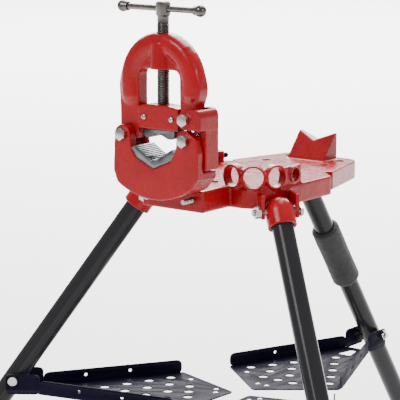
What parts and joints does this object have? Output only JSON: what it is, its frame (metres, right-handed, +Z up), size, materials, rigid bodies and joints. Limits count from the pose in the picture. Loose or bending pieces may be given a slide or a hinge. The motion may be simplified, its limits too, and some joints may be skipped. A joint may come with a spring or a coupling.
{
  "type": "folding tripod pipe vise stand",
  "caption": "Folding tripod stand for pipe work: red table with a hinged yoke vise, V rest and bender pockets, black tube legs and a folding tray.",
  "frame": {"origin": "centre of the footprint of the stand's box, on the floor", "axes": "+Z up, Y along the clamped pipe with the vise at -Y and the V rest at +Y, +X the side with the bender pockets"},
  "size_m": [1.0758, 1.0394, 0.9844],
  "materials": {
    "red_paint": "gloss",
    "black_gloss": "gloss",
    "black_sheet": "satin",
    "zinc": "bright",
    "bare_steel": "satin",
    "jaw_steel": "dark",
    "foam": "matt",
    "rubber_foot": "matt"
  },
  "bodies": {
    "base": {"table_casting": "red_paint", "vise_body": "red_paint", "lower_jaw": "jaw_steel", "yoke_hinge_bolt": "zinc", "yoke_hinge_nut": "zinc", "catch_bolt": "zinc", "catch_nut": "zinc", "mount_screw_left": "zinc", "mount_screw_right": "zinc", "brace_bolt": "black_gloss", "leg_bolt_left": "zinc", "leg_bolt_right": "zinc", "leg_bolt_rear": "zinc", "leg_nut_left": "zinc", "leg_nut_right": "zinc", "leg_nut_rear": "zinc"},
    "yoke_body": {"yoke": "red_paint", "hook_bolt": "zinc", "hook_nut": "zinc"},
    "hook_body": {"hook": "red_paint"},
    "carriage_body": {"carriage": "red_paint", "upper_jaw": "jaw_steel", "jaw_screw_left": "zinc", "jaw_screw_right": "zinc"},
    "screw_body": {"vise_screw": "bare_steel"},
    "handle_body": {"handle_bar": "bare_steel", "handle_ball_left": "bare_steel", "handle_ball_right": "bare_steel"},
    "leg_left": {"leg_socket_left": "red_paint", "leg_tube_left": "black_gloss", "foot_left": "rubber_foot", "leaf_pin_left": "zinc", "pin_retainer_left": "zinc"},
    "leaf_left": {"tray_leaf_left": "black_sheet"},
    "leg_right": {"leg_socket_right": "red_paint", "leg_tube_right": "black_gloss", "foot_right": "rubber_foot", "leaf_pin_right": "zinc", "pin_retainer_right": "zinc"},
    "leaf_right": {"tray_leaf_right": "black_sheet"},
    "leg_rear": {"leg_socket_rear": "red_paint", "leg_tube_rear": "black_gloss", "foot_rear": "rubber_foot", "leaf_pin_rear": "zinc", "pin_retainer_rear": "zinc", "foam_grip": "foam"},
    "leaf_rear": {"tray_leaf_rear": "black_sheet"}
  },
  "joints": [
    {"name": "yoke_swing", "type": "hinge", "parent": "base", "child": "yoke_body", "pos_m": [-0.059, -0.34259, 0.7854], "axis": [0, -1, 0], "range_deg": [0, 95]},
    {"name": "hook_swing", "type": "hinge", "parent": "yoke_body", "child": "hook_body", "pos_m": [0.06, -0.34259, 0.8164], "axis": [0, -1, 0], "range_deg": [0, 25]},
    {"name": "carriage_slide", "type": "slide", "parent": "yoke_body", "child": "carriage_body", "axis": [0, 0, 1], "range_m": [-0.01, 0.043]},
    {"name": "screw_turn", "type": "hinge", "parent": "carriage_body", "child": "screw_body", "pos_m": [0, -0.34259, 0.8854], "axis": [0, 0, 1], "range_deg": [-725, 3100]},
    {"name": "handle_slide", "type": "slide", "parent": "screw_body", "child": "handle_body", "axis": [0.9988, -0.0489, 0], "range_m": [-0.05, 0.058]},
    {"name": "leg_fold_left", "type": "hinge", "parent": "base", "child": "leg_left", "pos_m": [-0.13074, -0.22682, 0.668], "axis": [0.5764, -0.8171, 0], "range_deg": [0, 15]},
    {"name": "leaf_fold_left", "type": "hinge", "parent": "leg_left", "child": "leaf_left", "pos_m": [-0.30697, -0.35114, 0.36], "axis": [0.5764, -0.8171, 0], "range_deg": [0, 51.5]},
    {"name": "leg_fold_right", "type": "hinge", "parent": "base", "child": "leg_right", "pos_m": [0.13074, -0.22682, 0.668], "axis": [0.5764, 0.8171, 0], "range_deg": [0, 15]},
    {"name": "leaf_fold_right", "type": "hinge", "parent": "leg_right", "child": "leaf_right", "pos_m": [0.30697, -0.35114, 0.36], "axis": [0.5764, 0.8171, 0], "range_deg": [0, 51.5]},
    {"name": "leg_fold_rear", "type": "hinge", "parent": "base", "child": "leg_rear", "pos_m": [0, 0.02541, 0.668], "axis": [-1, 0, 0], "range_deg": [0, 15]},
    {"name": "leaf_fold_rear", "type": "hinge", "parent": "leg_rear", "child": "leaf_rear", "pos_m": [0, 0.24107, 0.36], "axis": [-1, 0, 0], "range_deg": [0, 51.5]}
  ],
  "couplings": [
    {"joint": "screw_turn", "follows": "carriage_slide", "rad_per_m": 1256.6},
    {"joint": "leg_fold_left", "follows": "leg_fold_rear", "ratio": 1},
    {"joint": "leg_fold_right", "follows": "leg_fold_rear", "ratio": 1},
    {"joint": "leaf_fold_left", "follows": "leg_fold_rear", "ratio": 3.4},
    {"joint": "leaf_fold_right", "follows": "leg_fold_rear", "ratio": 3.4},
    {"joint": "leaf_fold_rear", "follows": "leg_fold_rear", "ratio": 3.4}
  ]
}
